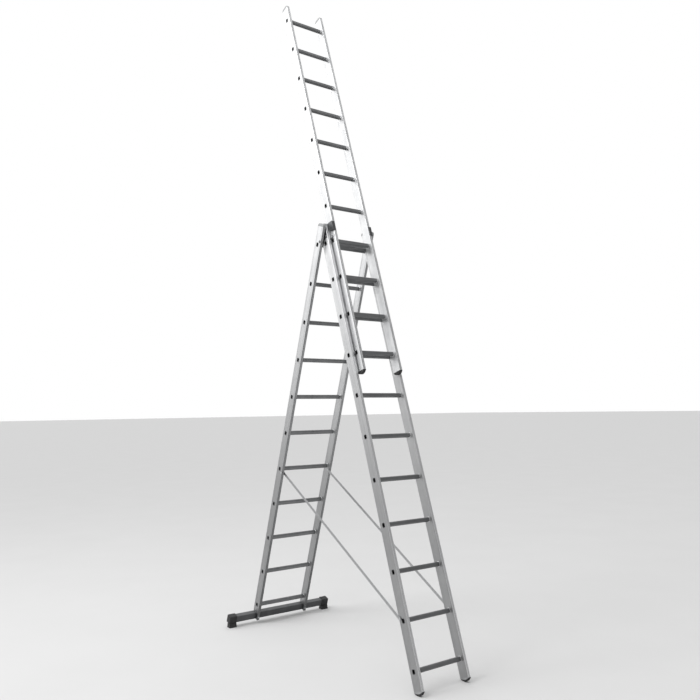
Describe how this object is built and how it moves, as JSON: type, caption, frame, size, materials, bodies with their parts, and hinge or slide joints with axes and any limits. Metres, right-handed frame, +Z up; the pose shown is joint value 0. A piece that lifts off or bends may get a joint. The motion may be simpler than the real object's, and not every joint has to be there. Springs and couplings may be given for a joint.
{
  "type": "three-section combination ladder",
  "caption": "Aluminium combination ladder standing as a stepladder, its narrow top section run out above the hinge, with a stabiliser bar and braces.",
  "frame": {"origin": "on the floor, in the middle of the footprint", "axes": "+Z up, +X along the rungs, +Y from the front feet to the stabiliser bar"},
  "size_m": [0.895, 1.9532, 4.8055],
  "materials": {
    "aluminium": "satin extruded",
    "grey_plastic": "matte",
    "rubber": "matte",
    "dark_coating": "satin",
    "zinc_steel": "satin zinc"
  },
  "bodies": {
    "front_section": {"front_stile_left": "aluminium", "front_stile_right": "aluminium", "front_rung_01": "aluminium", "front_rung_02": "aluminium", "front_rung_03": "aluminium", "front_rung_04": "aluminium", "front_rung_05": "aluminium", "front_rung_06": "aluminium", "front_rung_07": "aluminium", "front_rung_08": "aluminium", "front_rung_09": "aluminium", "front_rung_10": "aluminium", "front_rung_11": "aluminium", "front_top_plugs": "grey_plastic", "front_feet": "rubber", "front_section_rivets": "zinc_steel", "hinge_plate_left": "dark_coating", "hinge_plate_right": "dark_coating", "guide_bracket_left": "dark_coating", "guide_bracket_right": "dark_coating", "brace_hook_studs": "zinc_steel"},
    "rear_section": {"rear_stile_left": "aluminium", "rear_stile_right": "aluminium", "rear_rung_01": "aluminium", "rear_rung_02": "aluminium", "rear_rung_03": "aluminium", "rear_rung_04": "aluminium", "rear_rung_05": "aluminium", "rear_rung_06": "aluminium", "rear_rung_07": "aluminium", "rear_rung_08": "aluminium", "rear_rung_09": "aluminium", "rear_rung_10": "aluminium", "rear_rung_11": "aluminium", "rear_top_plugs": "grey_plastic", "rear_section_bolts": "zinc_steel", "stabiliser_bar": "dark_coating", "stabiliser_feet": "rubber", "stabiliser_brackets": "dark_coating", "hinge_pins": "zinc_steel"},
    "top_section": {"top_stile_left": "aluminium", "top_stile_right": "aluminium", "top_rung_01": "aluminium", "top_rung_02": "aluminium", "top_rung_03": "aluminium", "top_rung_04": "aluminium", "top_rung_05": "aluminium", "top_rung_06": "aluminium", "top_rung_07": "aluminium", "top_rung_08": "aluminium", "top_rung_09": "aluminium", "top_rung_10": "aluminium", "top_rung_11": "aluminium", "top_section_plugs": "grey_plastic", "top_section_feet": "rubber", "rung_hook_pins": "zinc_steel"},
    "hook_left": {"rung_hook_left": "dark_coating"},
    "hook_right": {"rung_hook_right": "dark_coating"},
    "brace_arm_left": {"brace_left": "zinc_steel"},
    "brace_arm_right": {"brace_right": "zinc_steel"}
  },
  "joints": [
    {"name": "rear_section_fold", "type": "hinge", "parent": "front_section", "child": "rear_section", "pos_m": [0, -0.02729, 2.80855], "axis": [1, 0, 0], "range_deg": [-36.5, 0]},
    {"name": "top_section_slide", "type": "slide", "parent": "front_section", "child": "top_section", "axis": [0, 0.304, 0.9527], "range_m": [-1.96, 0]},
    {"name": "hook_left_lift", "type": "hinge", "parent": "top_section", "child": "hook_left", "pos_m": [0, -0.09722, 2.83611], "axis": [1, 0, 0], "range_deg": [0, 35]},
    {"name": "hook_right_lift", "type": "hinge", "parent": "top_section", "child": "hook_right", "pos_m": [0, -0.09722, 2.83611], "axis": [1, 0, 0], "range_deg": [0, 35]},
    {"name": "brace_left_swing", "type": "hinge", "parent": "rear_section", "child": "brace_arm_left", "pos_m": [0, 0.52896, 1.17147], "axis": [1, 0, 0], "range_deg": [-101.43, 0]},
    {"name": "brace_right_swing", "type": "hinge", "parent": "rear_section", "child": "brace_arm_right", "pos_m": [0, 0.52896, 1.17147], "axis": [1, 0, 0], "range_deg": [-101.43, 0]}
  ],
  "couplings": [
    {"joint": "brace_left_swing", "follows": "rear_section_fold", "ratio": 2.779},
    {"joint": "brace_right_swing", "follows": "rear_section_fold", "ratio": 2.779}
  ]
}
